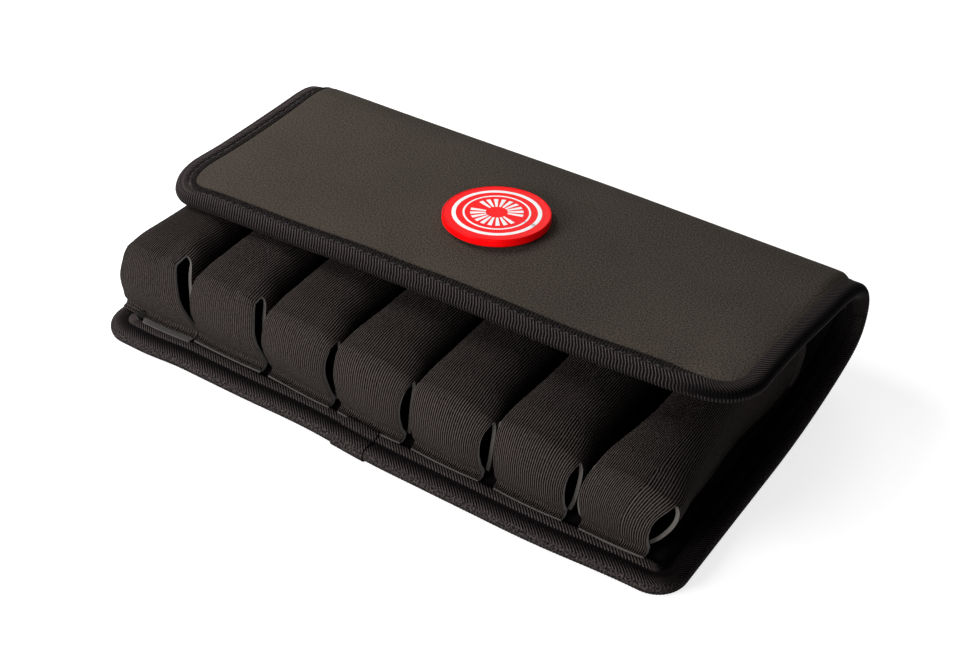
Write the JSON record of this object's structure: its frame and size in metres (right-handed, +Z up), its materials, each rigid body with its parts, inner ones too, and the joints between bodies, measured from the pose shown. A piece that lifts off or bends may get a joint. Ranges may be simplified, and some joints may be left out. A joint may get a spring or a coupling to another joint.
{
  "type": "soft harmonica case",
  "caption": "Soft folding case with a rounded back, a bound lid with a round badge, and a row of sewn tunnel pockets for harmonicas.",
  "frame": {"origin": "on the table under the middle of the closed case", "axes": "+X along the case to the right seen from the front hem, +Y from the front hem to the rounded back, +Z up"},
  "size_m": [0.21, 0.122, 0.0476],
  "materials": {
    "shell_cloth": "matte heathered dark grey woven cloth",
    "lining_cloth": "smooth black knitted lining",
    "pocket_cloth": "finely ribbed dark grey cloth, stiffened",
    "binding_tape": "ribbed black grosgrain tape with lockstitches",
    "foam": "closed-cell foam",
    "badge_red": "moulded red plastic",
    "badge_face": "glossy coral-red inlay",
    "hook_tape": "black hook tape",
    "loop_tape": "black loop tape, napped"
  },
  "bodies": {
    "base": {"base_cover": "shell_cloth", "base_foam": "foam", "base_lining": "lining_cloth", "base_binding": "binding_tape", "pocket_1": "pocket_cloth", "pocket_2": "pocket_cloth", "pocket_3": "pocket_cloth", "pocket_4": "pocket_cloth", "pocket_5": "pocket_cloth", "pocket_6": "pocket_cloth", "pocket_7": "pocket_cloth", "mouth_tapes": "binding_tape", "loop_patches": "loop_tape", "lower_fold_cover": "shell_cloth", "lower_fold_foam": "foam", "lower_fold_lining": "lining_cloth", "lower_fold_binding_left": "binding_tape", "lower_fold_binding_right": "binding_tape"},
    "back": {"back_cover": "shell_cloth", "back_foam": "foam", "back_lining": "lining_cloth", "back_binding_left": "binding_tape", "back_binding_right": "binding_tape", "upper_fold_cover": "shell_cloth", "upper_fold_foam": "foam", "upper_fold_lining": "lining_cloth", "upper_fold_binding_left": "binding_tape", "upper_fold_binding_right": "binding_tape"},
    "lid": {"lid_cover": "shell_cloth", "lid_foam": "foam", "lid_lining": "lining_cloth", "lid_binding": "binding_tape", "badge_body": "badge_red", "badge_inlay": "badge_face", "hook_patches": "hook_tape"}
  },
  "joints": [
    {"name": "back_fold", "type": "hinge", "parent": "base", "child": "back", "pos_m": [0, 0.05457, 0.00643], "axis": [-1, 0, 0], "range_deg": [0, 90], "deforming": ["lower_fold_cover", "lower_fold_foam", "lower_fold_lining", "lower_fold_binding_left", "lower_fold_binding_right"]},
    {"name": "lid_fold", "type": "hinge", "parent": "back", "child": "lid", "pos_m": [0, 0.05577, 0.03377], "axis": [-1, 0, 0], "range_deg": [0, 80], "deforming": ["upper_fold_cover", "upper_fold_foam", "upper_fold_lining", "upper_fold_binding_left", "upper_fold_binding_right"]}
  ]
}
